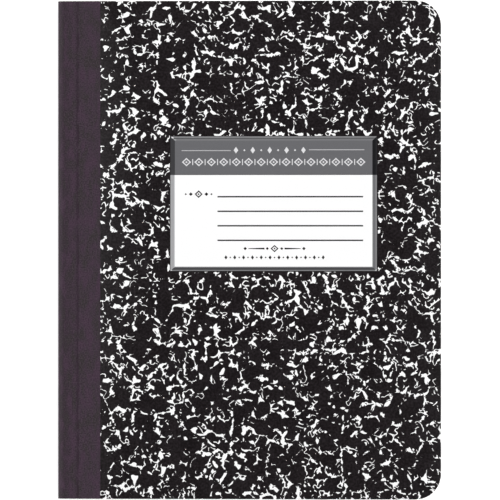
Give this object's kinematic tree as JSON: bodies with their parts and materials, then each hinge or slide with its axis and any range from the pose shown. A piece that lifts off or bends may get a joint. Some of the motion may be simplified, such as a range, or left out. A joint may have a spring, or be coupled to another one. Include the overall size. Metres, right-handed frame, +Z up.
{
  "type": "composition notebook",
  "caption": "Closed sewn notebook with a black and white marbled card cover, cloth tape over the spine, rounded fore corners and covers that open.",
  "frame": {"origin": "middle of the closed book's footprint, on the surface that it lies on", "axes": "+X from the spine to the fore edge, +Y from the tail of the book to its head, +Z up out of the front cover"},
  "size_m": [0.1906, 0.2476, 0.0093],
  "materials": {
    "page_paper": "uncoated writing paper, ruled",
    "cover_board": "coated card, printed with a black and white marble pattern",
    "cloth_tape": "fine-grained coated book cloth, satin",
    "thread": "twisted white cotton"
  },
  "bodies": {
    "text_block": {"page_block": "page_paper", "cover_spine": "cover_board", "spine_tape": "cloth_tape", "needle_thread": "thread", "bobbin_thread": "thread"},
    "front": {"front_cover": "cover_board", "front_tape_flap": "cloth_tape"},
    "back": {"back_cover": "cover_board", "back_tape_flap": "cloth_tape"}
  },
  "joints": [
    {"name": "front_cover_hinge", "type": "hinge", "parent": "text_block", "child": "front", "pos_m": [-0.09485, 0, 0.0089], "axis": [0, -1, 0], "range_deg": [0, 180]},
    {"name": "back_cover_hinge", "type": "hinge", "parent": "text_block", "child": "back", "pos_m": [-0.09485, 0, 0.0004], "axis": [0, 1, 0], "range_deg": [0, 180]}
  ]
}
